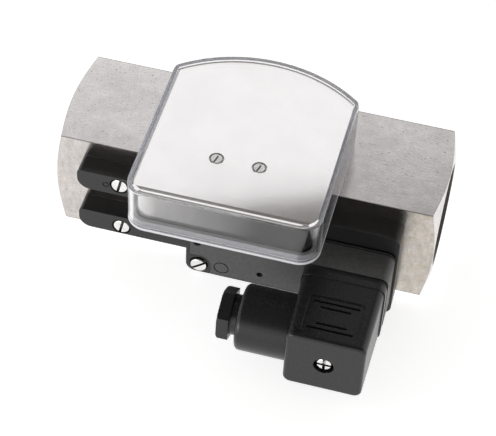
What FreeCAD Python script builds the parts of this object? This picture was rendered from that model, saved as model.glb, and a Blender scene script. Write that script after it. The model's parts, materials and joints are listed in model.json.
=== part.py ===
import FreeCAD, Part
import math
import os

# Variable area flow meter, in millimetres.
# X runs along the pipe with the flow, -Y is the front with the connector, +Z is up.
# The origin is the middle of the flat underside of the body.

os.makedirs("parts", exist_ok=True)

X_AXIS = FreeCAD.Vector(1, 0, 0)
Y_AXIS = FreeCAD.Vector(0, 1, 0)
Z_AXIS = FreeCAD.Vector(0, 0, 1)

# General clearances
RUNNING = 0.06
MOVING = 0.4
SLIP = 0.1
THREAD_GAP = 0.05

# Body: a square bar, turned at both ends and bored through
BODY_WIDTH = 40.0
BODY_LENGTH = 130.0
PIPE_Z = BODY_WIDTH / 2
FRONT_FACE = -BODY_WIDTH / 2
END_CHAMFER_ANGLE = 15.0
PORT_RADIUS = 16.62
PORT_DEPTH = 18.0
PORT_CHAMFER = 1.0
SEAT_STEP = 2.1
SEAT_LENGTH = 13.0
BORE_STEP = 1.5
SEAT_RADIUS = PORT_RADIUS - SEAT_STEP
BORE_RADIUS = SEAT_RADIUS - BORE_STEP
BODY_END = BODY_LENGTH / 2
PORT_BOTTOM = BODY_END - PORT_DEPTH
SHOULDER = PORT_BOTTOM - SEAT_LENGTH

# Guide stars, rod and retaining rings in the bore
ROD_RADIUS = 2.0
STAR_LENGTH = 5.0
STAR_RIM = 2.4
STAR_SPOKE = 2.2
HUB_RADIUS = 5.5
HUB_REACH = 3.7
RING_THICKNESS = 1.2
RING_DEPTH = 0.9
RING_WIDTH = 2.6
RING_OPENING = 40.0

# Measuring cone and the piston that moves in it
CONE_FLANGE = 3.0
CONE_LENGTH = 26.0
CONE_LIP = 1.5
CONE_RISE = 2.2
CONE_MOUTH = BORE_RADIUS - SLIP - CONE_LIP
CONE_THROAT = CONE_MOUTH - CONE_RISE
THROAT_LENGTH = 4.0
TRAVEL = 16.0
HEAD_CLEARANCE = 0.5
HEAD_EDGE = 1.0
HEAD_RADIUS = CONE_THROAT - HEAD_CLEARANCE
HEAD_LENGTH = 3.0
HEAD_TAPER = 6.0
STEM_RADIUS = 5.0
COLLAR_RADIUS = 7.5
COLLAR_LENGTH = 2.0
FLOW_GAP = 1.8
MAGNET_RADIUS = CONE_MOUTH - FLOW_GAP
MAGNET_LENGTH = 8.0
NUT_RADIUS = 7.5
NUT_LENGTH = 3.0
SPRING_RADIUS = 4.2
SPRING_WIRE = 0.5
SPRING_TURNS = 7
SPRING_WIRE_SIDES = 8

# Where the stack in the bore lies along X
CONE_FACE = -SHOULDER - CONE_FLANGE
INLET_RIM = CONE_FACE - STAR_LENGTH
INLET_HUB = CONE_FACE + HUB_REACH
OUTLET_HUB = SHOULDER - HUB_REACH
OUTLET_RIM = SHOULDER + STAR_LENGTH
PISTON_NOSE = INLET_HUB + MOVING
MAGNET_START = -TRAVEL / 2 - MAGNET_LENGTH / 2
MAGNET_END = MAGNET_START + MAGNET_LENGTH
PISTON_TAIL = MAGNET_END + NUT_LENGTH

# Dial: the arc of hood and plate is struck about the follower's pivot
PIVOT_Y = -30.0
HOOD_HALF_WIDTH = 31.5
HOOD_FRONT = -52.2
HOOD_ARC = 48.5
HOOD_HEIGHT = 16.3
BASE_THICKNESS = 1.0
HOOD_BOTTOM = BODY_WIDTH + BASE_THICKNESS
HOOD_TOP = HOOD_BOTTOM + HOOD_HEIGHT
HOOD_WALL = 1.5
HOOD_ROOF = 1.6
HOOD_CORNER = 7.0
HOOD_REAR_CORNER = 3.0
HOOD_EDGE = 1.4
HOOD_SEAT = 0.1
RIM_HEIGHT = 2.6
RIM_WIDTH = 1.2
RIM_CORNER = 1.0
PLATE_THICKNESS = 1.2
PLATE_GAP = 0.2
PLATE_ROOF_GAP = 0.3
PLATE_CORNER = 4.5
PLATE_BEND = 1.0
PLATE_BOTTOM = HOOD_TOP - HOOD_ROOF - PLATE_ROOF_GAP - PLATE_THICKNESS
SKIRT_INSET = HOOD_WALL + SLIP + RIM_WIDTH + PLATE_GAP
PLATE_FRONT = HOOD_FRONT + SKIRT_INSET
SKIRT_GAP = 0.3
PILLAR_SPACING = 14.0
PILLAR_RADIUS = 2.4
PILLAR_SPIGOT = 1.2
DIAL_SCREW_RADIUS = 1.25
DIAL_HEAD_RADIUS = 2.1
DIAL_HEAD_HEIGHT = 0.85
DIAL_SLOT_WIDTH = 0.6
DIAL_SLOT_DEPTH = 0.6
DIAL_SLOT_ANGLE = 75.0
DIAL_RELIEF = 0.35
DIAL_RELIEF_DEPTH = 0.5
DIAL_SCREW_BITE = 3.8
BRIDGE_THICKNESS = 1.5
BRIDGE_WIDTH = 6.4
BASE_SCREW_X = 22.0
BASE_SCREW_RADIUS = 2.0
BASE_HEAD_RADIUS = 3.8
BASE_HEAD_HEIGHT = 2.4
BASE_HEAD_EDGE = 0.8
BASE_SCREW_DEPTH = 4.5

# Follower under the dial plate
FOLLOWER_REACH = -PIVOT_Y
FOLLOWER_ANGLE = math.degrees(math.atan(TRAVEL / 2 / FOLLOWER_REACH))
SHAFT_RADIUS = 1.0
BOSS_RADIUS = 3.0
BOSS_HEIGHT = 2.4
ARM_HUB_RADIUS = 2.8
ARM_HUB_HEIGHT = 4.5
ARM_THICKNESS = 1.2
ARM_WIDTH = 4.4
FOLLOWER_MAGNET_RADIUS = 4.0
FOLLOWER_MAGNET_HEIGHT = 5.0
CUP_WALL = 1.2
WEIGHT_RADIUS = 3.6
WEIGHT_HEIGHT = 3.6
WEIGHT_REACH = 12.0
WEIGHT_PIN = 1.5

# Switch housing on the front of the body
HOUSING_DEPTH = 7.2
HOUSING_FRONT = FRONT_FACE - HOUSING_DEPTH
HOUSING_LEFT = -17.3
HOUSING_RIGHT = 54.4
HOUSING_TOP_GAP = 6.5
HOUSING_HEIGHT = 38.1
HOUSING_TOP = BODY_WIDTH - HOUSING_TOP_GAP
HOUSING_BOTTOM = HOUSING_TOP - HOUSING_HEIGHT
HOUSING_CORNER = 3.5
ARM_END = -55.2
ARM_HEIGHT = 8.2
UPPER_ARM_BOTTOM = HOUSING_TOP - ARM_HEIGHT
LOWER_ARM_DROP = 5.6
LOWER_ARM_TOP = PIPE_Z - LOWER_ARM_DROP
ARM_TOP_CORNER = 1.5
ARM_BOTTOM_CORNER = 4.2
COVER_SIDE = 1.2
COVER_DROP = 1.6
COVER_LEFT = HOUSING_LEFT + COVER_SIDE
COVER_RIGHT = 23.7
COVER_TOP = HOUSING_TOP - COVER_DROP
COVER_THICKNESS = 1.5
COVER_CORNER = 1.0
BOSS_WALL = 0.7
CAVITY_MARGIN = 3.0
CAVITY_FLOOR = 1.2
CAVITY_BACK = FRONT_FACE - CAVITY_FLOOR
CHANNEL_RADIUS = 2.2
COVER_HOLE_X = -13.4
COVER_HOLE_DROP = 10.1
COVER_HOLE_Z = PIPE_Z - COVER_HOLE_DROP
COVER_HOLE_RADIUS = 1.4
DRAIN_HOLE_X = 8.7
DRAIN_HOLE_DROP = 19.4
DRAIN_HOLE_Z = PIPE_Z - DRAIN_HOLE_DROP
DRAIN_HOLE_RADIUS = 1.1
DRAIN_HOLE_DEPTH = 6.0
MARK_X = -4.8
MARK_DROP = 20.3
MARK_Z = PIPE_Z - MARK_DROP
MARK_RADIUS = 2.7
MARK_WIDTH = 0.4
MARK_DEPTH = 0.3
ARM_MARK_X = -45.2
ARM_MARK_DROP = 4.2
ARM_MARK_RADIUS = 1.2

# Two screws through the arms into the body, and a shorter one in the housing's lower corner
SCREW_RADIUS = 1.5
SCREW_HEAD_RADIUS = 2.8
SCREW_HEAD_HEIGHT = 2.2
SCREW_HEAD_EDGE = 0.45
SCREW_SLOT_WIDTH = 0.9
SCREW_SLOT_DEPTH = 1.0
SCREW_BITE = 3.4
CORNER_SCREW_LENGTH = 4.6
COUNTERBORE_RADIUS = 3.3
ARM_COUNTERBORE = 2.1
CORNER_COUNTERBORE = 1.2
ARM_SLOT_ANGLE = 77.0
CORNER_SLOT_ANGLE = 39.0
UPPER_SCREW_DROP = 3.8
LOWER_SCREW_DROP = 4.8
CORNER_SCREW_IN = 4.6
CORNER_SCREW_RISE = 4.1
UPPER_SCREW_X = -40.6
UPPER_SCREW_Z = HOUSING_TOP - UPPER_SCREW_DROP
LOWER_SCREW_X = -40.2
LOWER_SCREW_Z = LOWER_ARM_TOP - LOWER_SCREW_DROP
CORNER_SCREW_X = HOUSING_LEFT + CORNER_SCREW_IN
CORNER_SCREW_Z = HOUSING_BOTTOM + CORNER_SCREW_RISE
ARM_SCREWS = ((UPPER_SCREW_X, UPPER_SCREW_Z), (LOWER_SCREW_X, LOWER_SCREW_Z))
BOSS_CORNER = COUNTERBORE_RADIUS + BOSS_WALL
BOSS_RIGHT = CORNER_SCREW_X + BOSS_CORNER
BOSS_TOP = CORNER_SCREW_Z + BOSS_CORNER
CAVITY_BOTTOM = BOSS_TOP + CAVITY_MARGIN

# Reed switch on its board
BOARD_THICKNESS = 1.0
BOARD_WIDTH = 26.0
BOARD_HEIGHT = 14.0
BOARD_CORNER = 1.0
REED_RADIUS = 1.1
REED_ROUND = 0.6
REED_LENGTH = 15.0
LEAD_RADIUS = 0.35
LEAD_LENGTH = 4.0
WIRE_RADIUS = 0.6
WIRE_SPACING = 2.0
WIRE_BEND = 1.0

# Square connector at the right
CONNECTOR_X = 39.6
CONNECTOR_DROP = 6.5
CONNECTOR_Z = PIPE_Z - CONNECTOR_DROP
SOCKET_WIDTH = 28.0
SOCKET_HEIGHT = 25.7
SOCKET_LENGTH = 11.6
SOCKET_CORNER = 3.2
SOCKET_GROOVE = 0.4
SOCKET_LIP = 0.9
SPIGOT_RADIUS = 8.0
SPIGOT_LENGTH = 2.0
SPIGOT_WALL = 2.0
GASKET_THICKNESS = 1.8
GASKET_INSET = 0.5
GASKET_OPENING = 20.6
FLANGE_LENGTH = 2.7
PLUG_LENGTH = 27.9
PLUG_BACK_WIDTH = 26.9
PLUG_BACK_HEIGHT = 25.1
PLUG_FRONT_WIDTH = 25.9
PLUG_FRONT_HEIGHT = 24.7
PLUG_CORNER = 2.6
PLUG_EDGE = 1.2
PLUG_ROOF = 8.0
INSERT_SIZE = 19.6
INSERT_CORNER = 1.5
PIN_CIRCLE = 7.5
PIN_WIDTH = 5.0
PIN_THICKNESS = 0.8
PIN_REACH = 7.0
PLUG_SCREW_RADIUS = 1.5
PLUG_SCREW_HEAD = 2.6
PLUG_SCREW_HEAD_HEIGHT = 2.2
PLUG_HEAD_EDGE = 0.55
PLUG_SCREW_RECESS = 3.4
PLUG_RECESS_DEPTH = 2.8
PLUG_SCREW_BITE = 6.0
SOCKET_FRONT = HOUSING_FRONT - SOCKET_LENGTH
GASKET_FRONT = SOCKET_FRONT - GASKET_THICKNESS
FLANGE_FRONT = GASKET_FRONT - FLANGE_LENGTH
PLUG_FRONT = GASKET_FRONT - PLUG_LENGTH
PANEL_WIDTH = 18.0
PANEL_LENGTH = 15.2
PANEL_SETBACK = 2.7
PANEL_DEPTH = 0.3
PANEL_CORNER = 1.5
GROOVE_WIDTH = 0.8
GROOVE_DEPTH = 0.5
LONG_GROOVE = 15.2
LONG_GROOVE_PLACE = 5.4
SHORT_GROOVE = 10.0
SHORT_GROOVE_PLACE = 3.3

# Cable gland on the left of the plug
GLAND_Y = -56.0
GLAND_RADIUS = 11.0
GLAND_END = 9.4
GLAND_ROUND = 1.6
GLAND_THROAT = 5.2
GLAND_BORE_DEPTH = 11.0
NECK_RADIUS = 6.7
GLAND_BORE = NECK_RADIUS + THREAD_GAP
NUT_LEFT = 2.9
GLAND_NUT_RADIUS = 8.9
GLAND_NUT_LENGTH = 4.0
GLAND_NUT_TURN = 35.0
NUT_EDGE = 0.6
NECK_LENGTH = 7.0
CABLE_RADIUS = 4.6
WASHER_THICKNESS = 0.8


def vec(x, y, z):
    return FreeCAD.Vector(x, y, z)


def block(x0, x1, y0, y1, z0, z1):
    return Part.makeBox(x1 - x0, y1 - y0, z1 - z0, vec(x0, y0, z0))


def rod_x(radius, x0, x1, y=0.0, z=PIPE_Z):
    return Part.makeCylinder(radius, x1 - x0, vec(x0, y, z), X_AXIS)


def rod_y(radius, y0, y1, x, z):
    return Part.makeCylinder(radius, y1 - y0, vec(x, y0, z), Y_AXIS)


def rod_z(radius, z0, z1, x=0.0, y=PIVOT_Y):
    return Part.makeCylinder(radius, z1 - z0, vec(x, y, z0), Z_AXIS)


def tube_x(outer, inner, x0, x1, y=0.0, z=PIPE_Z):
    return rod_x(outer, x0, x1, y, z).cut(rod_x(inner, x0, x1, y, z))


def turned_x(points, y=0.0, z=PIPE_Z):
    """Solid of revolution about a line along X, from (x, radius) points."""
    corners = [vec(x, y, z + radius) for x, radius in points]
    face = Part.Face(Part.makePolygon(corners + corners[:1]))
    return face.revolve(vec(0, y, z), X_AXIS, 360)


def hexagon_x(radius, x0, x1, turn=0.0, y=0.0, z=PIPE_Z):
    """Six-sided bar along X, with a radius to its corners and a turn from the front upwards."""
    corners = []
    for side in range(7):
        angle = math.radians(turn + 60 * side)
        corners.append(vec(x0, y - radius * math.cos(angle), z + radius * math.sin(angle)))
    return Part.Face(Part.makePolygon(corners)).extrude(vec(x1 - x0, 0, 0))


def edges_along(shape, axis):
    """Straight edges of a shape that run along an axis."""
    found = []
    for edge in shape.Edges:
        if isinstance(edge.Curve, (Part.Line, Part.LineSegment)):
            if abs(edge.tangentAt(edge.FirstParameter).dot(axis)) > 0.999:
                found.append(edge)
    return found


def edges_in_plane(shape, axis, height):
    """Edges of a shape that lie in the plane across an axis at a height."""
    found = []
    for edge in shape.Edges:
        middle = edge.valueAt((edge.FirstParameter + edge.LastParameter) / 2)
        ends = [vertex.Point.dot(axis) for vertex in edge.Vertexes]
        if all(abs(value - height) < 1e-4 for value in ends + [middle.dot(axis)]):
            found.append(edge)
    return found


def rounded_y(x0, x1, z0, z1, y0, y1, radius):
    """Block with its four edges along Y rounded."""
    solid = block(x0, x1, y0, y1, z0, z1)
    return solid.makeFillet(radius, edges_along(solid, Y_AXIS))


def square_y(width, height, y0, y1, radius):
    """Rounded block round the connector's axis."""
    return rounded_y(CONNECTOR_X - width / 2, CONNECTOR_X + width / 2,
                     CONNECTOR_Z - height / 2, CONNECTOR_Z + height / 2, y0, y1, radius)


def connector_rod(radius, y0, y1):
    return rod_y(radius, y0, y1, CONNECTOR_X, CONNECTOR_Z)


def single(shape):
    """The one solid of a shape, with faces that continue each other joined."""
    solids = shape.removeSplitter().Solids
    if len(solids) != 1:
        raise ValueError("expected one solid, found %d" % len(solids))
    return solids[0]


def save(name, shape):
    shape.exportStep("parts/%s.step" % name)


# Outline shared by hood, base and dial plate
def dial_prism(inset, front, z0, z1, front_corner, rear_corner):
    """Upright prism of the dial's outline, smaller at the sides and rear by an inset."""
    half = HOOD_HALF_WIDTH - inset
    radius = HOOD_ARC - inset
    shoulder = PIVOT_Y + math.sqrt(radius ** 2 - half ** 2)
    left_front = vec(-half, front, z0)
    right_front = vec(half, front, z0)
    right_rear = vec(half, shoulder, z0)
    left_rear = vec(-half, shoulder, z0)
    crown = vec(0, PIVOT_Y + radius, z0)
    wire = Part.Wire([
        Part.makeLine(left_front, right_front),
        Part.makeLine(right_front, right_rear),
        Part.Arc(right_rear, crown, left_rear).toShape(),
        Part.makeLine(left_rear, left_front),
    ])
    solid = Part.Face(wire).extrude(vec(0, 0, z1 - z0))
    uprights = edges_along(solid, Z_AXIS)
    fronts = [edge for edge in uprights if edge.Vertexes[0].Point.y < PIVOT_Y]
    solid = solid.makeFillet(front_corner, fronts)
    uprights = edges_along(solid, Z_AXIS)
    rears = [edge for edge in uprights if edge.Vertexes[0].Point.y > PIVOT_Y + FOLLOWER_REACH / 2]
    return solid.makeFillet(rear_corner, rears)


# Body
def make_flow_body():
    corner = BODY_WIDTH
    setback = (corner - BODY_WIDTH / 2) * math.tan(math.radians(END_CHAMFER_ANGLE))
    envelope = turned_x([
        (-BODY_END, 0), (-BODY_END, BODY_WIDTH / 2), (-BODY_END + setback, corner),
        (BODY_END - setback, corner), (BODY_END, BODY_WIDTH / 2), (BODY_END, 0),
    ])
    bar = block(-BODY_END, BODY_END, FRONT_FACE, -FRONT_FACE, 0, BODY_WIDTH)
    body = bar.common(envelope)
    mouth = PORT_RADIUS + PORT_CHAMFER
    body = body.cut(turned_x([
        (-BODY_END, 0), (-BODY_END, mouth), (-BODY_END + PORT_CHAMFER, PORT_RADIUS),
        (-PORT_BOTTOM, PORT_RADIUS), (-PORT_BOTTOM, SEAT_RADIUS), (-SHOULDER, SEAT_RADIUS),
        (-SHOULDER, BORE_RADIUS), (SHOULDER, BORE_RADIUS), (SHOULDER, SEAT_RADIUS),
        (PORT_BOTTOM, SEAT_RADIUS), (PORT_BOTTOM, PORT_RADIUS), (BODY_END - PORT_CHAMFER, PORT_RADIUS),
        (BODY_END, mouth), (BODY_END, 0),
    ]))
    groove = SEAT_RADIUS + RING_DEPTH
    for start in (INLET_RIM - RING_THICKNESS, OUTLET_RIM):
        body = body.cut(rod_x(groove, start - SLIP / 2, start + RING_THICKNESS + SLIP / 2))
    for x, z in ARM_SCREWS:
        hole_end = FRONT_FACE + SCREW_BITE + MOVING
        body = body.cut(rod_y(SCREW_RADIUS + THREAD_GAP, FRONT_FACE, hole_end, x, z))
    for x in (-BASE_SCREW_X, BASE_SCREW_X):
        hole_bottom = BODY_WIDTH - BASE_SCREW_DEPTH - MOVING
        body = body.cut(rod_z(BASE_SCREW_RADIUS + THREAD_GAP, hole_bottom, BODY_WIDTH, x, 0))
    return single(body)


# Guides, rod, rings and measuring cone
def make_guide(rim_x, hub_x):
    """Three-spoked star with a rim, and a hub that reaches inwards as a stop."""
    start = min(rim_x, hub_x)
    end = max(rim_x, hub_x)
    rim_inner = SEAT_RADIUS - SLIP - STAR_RIM
    rim_far = rim_x + STAR_LENGTH if rim_x < hub_x else rim_x - STAR_LENGTH
    rim_start = min(rim_x, rim_far)
    rim_end = max(rim_x, rim_far)
    star = tube_x(SEAT_RADIUS - SLIP, rim_inner, rim_start, rim_end)
    star = star.fuse(rod_x(HUB_RADIUS, start, end))
    for spoke in range(3):
        bar = block(rim_start, rim_end, -STAR_SPOKE / 2, STAR_SPOKE / 2,
                    PIPE_Z, PIPE_Z + rim_inner + STAR_RIM / 2)
        bar.rotate(vec(0, 0, PIPE_Z), X_AXIS, 120 * spoke)
        star = star.fuse(bar)
    return single(star.cut(rod_x(ROD_RADIUS, start, end)))


def make_retaining_ring(start):
    outer = SEAT_RADIUS + RING_DEPTH - SLIP
    ring = tube_x(outer, SEAT_RADIUS - RING_WIDTH, start, start + RING_THICKNESS)
    half_opening = outer * math.tan(math.radians(RING_OPENING / 2))
    gap = block(start, start + RING_THICKNESS, -half_opening, half_opening, PIPE_Z - outer, PIPE_Z)
    return single(ring.cut(gap))


def make_measuring_cone():
    sleeve = BORE_RADIUS - SLIP
    throat_end = CONE_FACE + CONE_FLANGE + THROAT_LENGTH
    cone_end = -SHOULDER + CONE_LENGTH
    return turned_x([
        (CONE_FACE, CONE_THROAT), (CONE_FACE, SEAT_RADIUS - SLIP), (-SHOULDER, SEAT_RADIUS - SLIP),
        (-SHOULDER, sleeve), (cone_end, sleeve), (cone_end, CONE_MOUTH), (throat_end, CONE_THROAT),
    ])


# Piston, its magnet and nut, and the spring behind it
def make_piston():
    head_end = PISTON_NOSE + HEAD_LENGTH
    collar = MAGNET_START - COLLAR_LENGTH
    bore = ROD_RADIUS + RUNNING
    return turned_x([
        (PISTON_NOSE, bore), (PISTON_NOSE, HEAD_RADIUS - HEAD_EDGE), (PISTON_NOSE + HEAD_EDGE, HEAD_RADIUS),
        (head_end, HEAD_RADIUS), (head_end + HEAD_TAPER, STEM_RADIUS), (collar, STEM_RADIUS),
        (collar, COLLAR_RADIUS), (MAGNET_START, COLLAR_RADIUS), (MAGNET_START, STEM_RADIUS),
        (PISTON_TAIL, STEM_RADIUS), (PISTON_TAIL, bore),
    ])


def make_piston_magnet():
    return tube_x(MAGNET_RADIUS, STEM_RADIUS, MAGNET_START, MAGNET_END)


def make_magnet_nut():
    nut = hexagon_x(NUT_RADIUS, MAGNET_END, PISTON_TAIL)
    return nut.cut(rod_x(STEM_RADIUS, MAGNET_END, PISTON_TAIL))


def make_return_spring():
    """Coil between the piston's tail and the outlet hub, its wire eight-sided to stay light."""
    length = OUTLET_HUB - PISTON_TAIL - 2 * SPRING_WIRE - 2 * SLIP
    helix = Part.makeHelix(length / SPRING_TURNS, length, SPRING_RADIUS)
    corners = []
    for side in range(SPRING_WIRE_SIDES + 1):
        turn = math.radians(360 / SPRING_WIRE_SIDES * side)
        corners.append(vec(SPRING_RADIUS + SPRING_WIRE * math.cos(turn), 0, SPRING_WIRE * math.sin(turn)))
    section = Part.makePolygon(corners)
    coil = Part.Wire(helix).makePipeShell([section], True, True)
    coil.rotate(vec(0, 0, 0), Y_AXIS, 90)
    coil.translate(vec(PISTON_TAIL + SPRING_WIRE + SLIP, 0, PIPE_Z))
    return coil


# Dial base, pillars, bridge, plate and hood
def pillar_places():
    return [(side * PILLAR_SPACING / 2, PIVOT_Y) for side in (-1, 1)]


def make_dial_base():
    """Plate that closes the hood, with a rim inside the hood's wall and a boss for the shaft."""
    outer = HOOD_WALL + SLIP
    inner = outer + RIM_WIDTH
    rim_top = HOOD_BOTTOM + RIM_HEIGHT
    base = dial_prism(0, HOOD_FRONT, BODY_WIDTH, HOOD_BOTTOM, HOOD_CORNER, HOOD_REAR_CORNER)
    rim = dial_prism(outer, HOOD_FRONT + outer, HOOD_BOTTOM, rim_top,
                     HOOD_CORNER - outer, HOOD_REAR_CORNER - outer)
    hollow = dial_prism(inner, HOOD_FRONT + inner, HOOD_BOTTOM, rim_top, HOOD_CORNER - inner, RIM_CORNER)
    rim = rim.cut(hollow)
    base = base.fuse(rim).fuse(rod_z(BOSS_RADIUS, HOOD_BOTTOM, HOOD_BOTTOM + BOSS_HEIGHT))
    base = base.cut(rod_z(SHAFT_RADIUS + RUNNING, HOOD_BOTTOM, HOOD_BOTTOM + BOSS_HEIGHT))
    for x, y in pillar_places():
        base = base.cut(rod_z(PILLAR_SPIGOT, BODY_WIDTH, HOOD_BOTTOM, x, y))
    for x in (-BASE_SCREW_X, BASE_SCREW_X):
        base = base.cut(rod_z(BASE_SCREW_RADIUS + SLIP, BODY_WIDTH, HOOD_BOTTOM, x, 0))
    return single(base)


def make_base_screw(x):
    head = rod_z(BASE_HEAD_RADIUS, HOOD_BOTTOM, HOOD_BOTTOM + BASE_HEAD_HEIGHT, x, 0)
    head = head.makeFillet(BASE_HEAD_EDGE, edges_in_plane(head, Z_AXIS, HOOD_BOTTOM + BASE_HEAD_HEIGHT))
    screw = head.fuse(rod_z(BASE_SCREW_RADIUS, BODY_WIDTH - BASE_SCREW_DEPTH, HOOD_BOTTOM, x, 0))
    return single(screw)


def make_pillar(x, y):
    top = PLATE_BOTTOM - BRIDGE_THICKNESS
    pillar = rod_z(PILLAR_RADIUS, HOOD_BOTTOM, top, x, y)
    pillar = pillar.fuse(rod_z(PILLAR_SPIGOT, BODY_WIDTH, HOOD_BOTTOM, x, y))
    hole_bottom = top - DIAL_SCREW_BITE - MOVING
    return single(pillar.cut(rod_z(DIAL_SCREW_RADIUS, hole_bottom, top, x, y)))


def make_bearing_bridge():
    bottom = PLATE_BOTTOM - BRIDGE_THICKNESS
    half = PILLAR_SPACING / 2 + BRIDGE_WIDTH / 2
    bridge = block(-half, half, PIVOT_Y - BRIDGE_WIDTH / 2, PIVOT_Y + BRIDGE_WIDTH / 2,
                   bottom, PLATE_BOTTOM)
    bridge = bridge.makeFillet(BRIDGE_WIDTH / 2 - SLIP, edges_along(bridge, Z_AXIS))
    bridge = bridge.cut(rod_z(SHAFT_RADIUS + RUNNING, bottom, PLATE_BOTTOM))
    for x, y in pillar_places():
        bridge = bridge.cut(rod_z(DIAL_SCREW_RADIUS, bottom, PLATE_BOTTOM, x, y))
    return single(bridge)


def make_skirt(bottom, top):
    """Upright wall along the plate's front and round its two corners, clear of the base's rim."""
    inner_corner = PLATE_CORNER - PLATE_THICKNESS
    outer = dial_prism(SKIRT_INSET, PLATE_FRONT, bottom, top, PLATE_CORNER, RIM_CORNER)
    inner = dial_prism(SKIRT_INSET + PLATE_THICKNESS, PLATE_FRONT + PLATE_THICKNESS, bottom, top,
                       inner_corner, RIM_CORNER)
    front = block(-HOOD_HALF_WIDTH, HOOD_HALF_WIDTH, PLATE_FRONT, PLATE_FRONT + PLATE_CORNER, bottom, top)
    return outer.cut(inner).common(front)


def make_dial_plate():
    """Flat plate with the hood's arc at the rear and a skirt folded down round the front."""
    top = PLATE_BOTTOM + PLATE_THICKNESS
    plate = dial_prism(HOOD_WALL + PLATE_GAP, PLATE_FRONT, PLATE_BOTTOM, top,
                       PLATE_CORNER, HOOD_REAR_CORNER - HOOD_WALL)
    plate = plate.fuse(make_skirt(HOOD_BOTTOM + SKIRT_GAP, top))
    corner = block(-HOOD_HALF_WIDTH, HOOD_HALF_WIDTH, PLATE_FRONT, PLATE_FRONT + PLATE_BEND,
                   top - PLATE_BEND, top)
    bend = rod_x(PLATE_BEND, -HOOD_HALF_WIDTH, HOOD_HALF_WIDTH, PLATE_FRONT + PLATE_BEND, top - PLATE_BEND)
    plate = plate.cut(corner.cut(bend))
    for x, y in pillar_places():
        plate = plate.cut(dial_screw_head(x, y))
        plate = plate.cut(rod_z(DIAL_SCREW_RADIUS, PLATE_BOTTOM, top, x, y))
        plate = plate.cut(rod_z(DIAL_HEAD_RADIUS + DIAL_RELIEF, top - DIAL_RELIEF_DEPTH, top, x, y))
    return single(plate)


def dial_screw_head(x, y):
    bottom = PLATE_BOTTOM + PLATE_THICKNESS - DIAL_HEAD_HEIGHT
    return Part.makeCone(DIAL_SCREW_RADIUS, DIAL_HEAD_RADIUS, DIAL_HEAD_HEIGHT, vec(x, y, bottom), Z_AXIS)


def make_dial_screw(x, y):
    top = PLATE_BOTTOM + PLATE_THICKNESS
    tip = PLATE_BOTTOM - BRIDGE_THICKNESS - DIAL_SCREW_BITE
    screw = dial_screw_head(x, y).fuse(rod_z(DIAL_SCREW_RADIUS, tip, top - DIAL_HEAD_HEIGHT, x, y))
    slot = block(x - DIAL_HEAD_RADIUS, x + DIAL_HEAD_RADIUS,
                 y - DIAL_SLOT_WIDTH / 2, y + DIAL_SLOT_WIDTH / 2, top - DIAL_SLOT_DEPTH, top)
    slot.rotate(vec(x, y, top), Z_AXIS, DIAL_SLOT_ANGLE)
    return single(screw.cut(slot))


def make_hood():
    """Clear box open below, that stands clear of the base by the seat."""
    bottom = HOOD_BOTTOM + HOOD_SEAT
    shell = dial_prism(0, HOOD_FRONT, bottom, HOOD_TOP, HOOD_CORNER, HOOD_REAR_CORNER)
    shell = shell.makeFillet(HOOD_EDGE, edges_in_plane(shell, Z_AXIS, HOOD_TOP))
    inside = dial_prism(HOOD_WALL, HOOD_FRONT + HOOD_WALL, bottom, HOOD_TOP - HOOD_ROOF,
                        HOOD_CORNER - HOOD_WALL, HOOD_REAR_CORNER - HOOD_WALL)
    return single(shell.cut(inside))


# Magnet follower under the plate, drawn where the magnet of the piston at rest pulls it
def swung(shape):
    shape.rotate(vec(0, PIVOT_Y, 0), Z_AXIS, FOLLOWER_ANGLE)
    return shape


def arm_level():
    return HOOD_BOTTOM + BOSS_HEIGHT + MOVING


def make_follower_shaft():
    return rod_z(SHAFT_RADIUS, HOOD_BOTTOM + SLIP, PLATE_BOTTOM - MOVING)


def make_follower_arm():
    bottom = arm_level()
    blade = bottom + ARM_HUB_HEIGHT / 2
    tip = PIVOT_Y + FOLLOWER_REACH
    tail = PIVOT_Y - WEIGHT_REACH
    arm = block(-ARM_WIDTH / 2, ARM_WIDTH / 2, tail, tip, blade, blade + ARM_THICKNESS)
    arm = arm.fuse(rod_z(ARM_HUB_RADIUS, bottom, bottom + ARM_HUB_HEIGHT))
    arm = arm.fuse(rod_z(FOLLOWER_MAGNET_RADIUS + CUP_WALL, blade, blade + ARM_THICKNESS, 0, tip))
    arm = arm.fuse(rod_z(WEIGHT_RADIUS, blade, blade + ARM_THICKNESS, 0, tail))
    arm = arm.cut(rod_z(FOLLOWER_MAGNET_RADIUS, blade, blade + ARM_THICKNESS, 0, tip))
    arm = arm.cut(rod_z(WEIGHT_PIN, blade, blade + ARM_THICKNESS, 0, tail))
    arm = arm.cut(rod_z(SHAFT_RADIUS, bottom, bottom + ARM_HUB_HEIGHT))
    return swung(single(arm))


def make_follower_magnet():
    top = arm_level() + ARM_HUB_HEIGHT / 2 + ARM_THICKNESS
    tip = PIVOT_Y + FOLLOWER_REACH
    return swung(rod_z(FOLLOWER_MAGNET_RADIUS, top - FOLLOWER_MAGNET_HEIGHT, top, 0, tip))


def make_follower_weight():
    blade = arm_level() + ARM_HUB_HEIGHT / 2
    tail = PIVOT_Y - WEIGHT_REACH
    weight = rod_z(WEIGHT_RADIUS, blade + ARM_THICKNESS, blade + ARM_THICKNESS + WEIGHT_HEIGHT, 0, tail)
    pin = rod_z(WEIGHT_PIN, blade, blade + ARM_THICKNESS, 0, tail)
    return swung(single(weight.fuse(pin)))


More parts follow.
